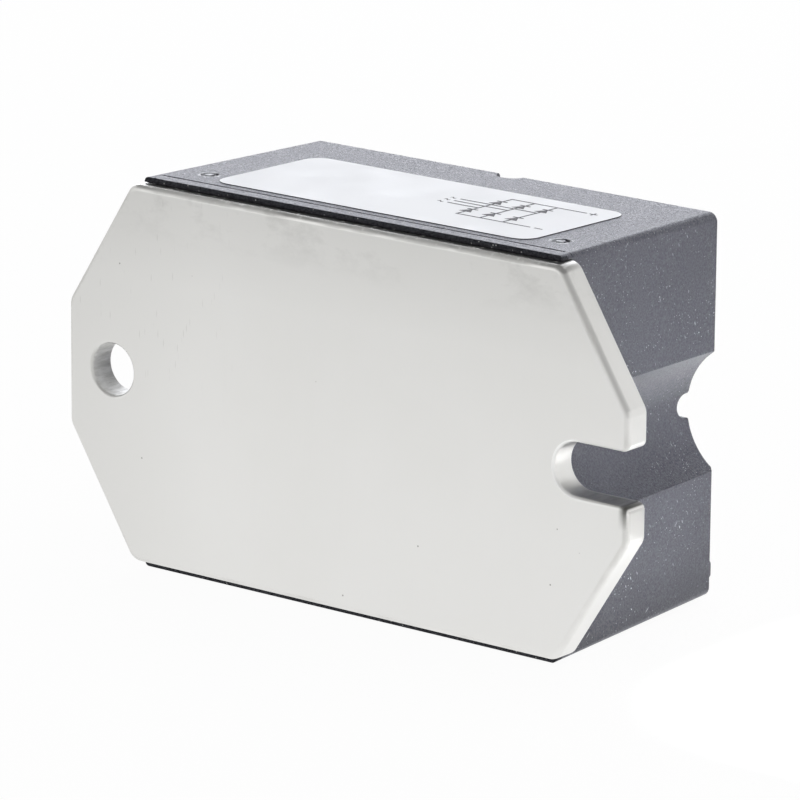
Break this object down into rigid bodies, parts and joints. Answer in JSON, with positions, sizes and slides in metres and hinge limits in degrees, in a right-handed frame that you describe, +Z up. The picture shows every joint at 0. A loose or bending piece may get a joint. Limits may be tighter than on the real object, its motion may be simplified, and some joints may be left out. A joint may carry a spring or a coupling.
{
  "type": "bridge rectifier module",
  "caption": "Bridge rectifier module: flat nickel-plated base plate with a holed ear and a slotted ear, dark moulded housing with a white side label, and screw terminals behind.",
  "frame": {"origin": "on the ground under the middle of the part's bounding box, as it stands on its long side", "axes": "+X along the length towards the slotted ear, +Y from the mounting face towards the terminals, +Z up towards the label side"},
  "size_m": [0.072, 0.0348, 0.0415],
  "materials": {
    "nickel_plate": "satin nickel plate",
    "dark_plastic": "fine matt moulding texture",
    "label_film": "white film with plain line print",
    "copper": "bare copper",
    "tile_ceramic": "white alumina",
    "silicon": "dark grey chip",
    "tinned_strip": "tinned copper strip",
    "zinc_steel": "bright zinc plate",
    "clear_gel": "soft clear gel"
  },
  "bodies": {
    "root": {"base_plate": "nickel_plate", "housing": "dark_plastic", "label": "label_film", "dcb_bottom_copper": "copper", "dcb_ceramic": "tile_ceramic", "pad_plus": "copper", "pad_minus": "copper", "pad_ac_1": "copper", "pad_ac_2": "copper", "pad_ac_3": "copper", "diode_upper_1": "silicon", "diode_upper_2": "silicon", "diode_upper_3": "silicon", "diode_lower_1": "silicon", "diode_lower_2": "silicon", "diode_lower_3": "silicon", "clip_upper_1": "copper", "clip_upper_2": "copper", "clip_upper_3": "copper", "clip_lower_1": "copper", "clip_lower_2": "copper", "clip_lower_3": "copper", "terminal_plus": "tinned_strip", "terminal_minus": "tinned_strip", "terminal_ac_1": "tinned_strip", "terminal_ac_2": "tinned_strip", "terminal_ac_3": "tinned_strip", "terminal_nuts": "zinc_steel", "flat_washers": "zinc_steel", "spring_washers": "zinc_steel", "terminal_screws": "zinc_steel", "gel_fill": "clear_gel"}
  },
  "joints": []
}
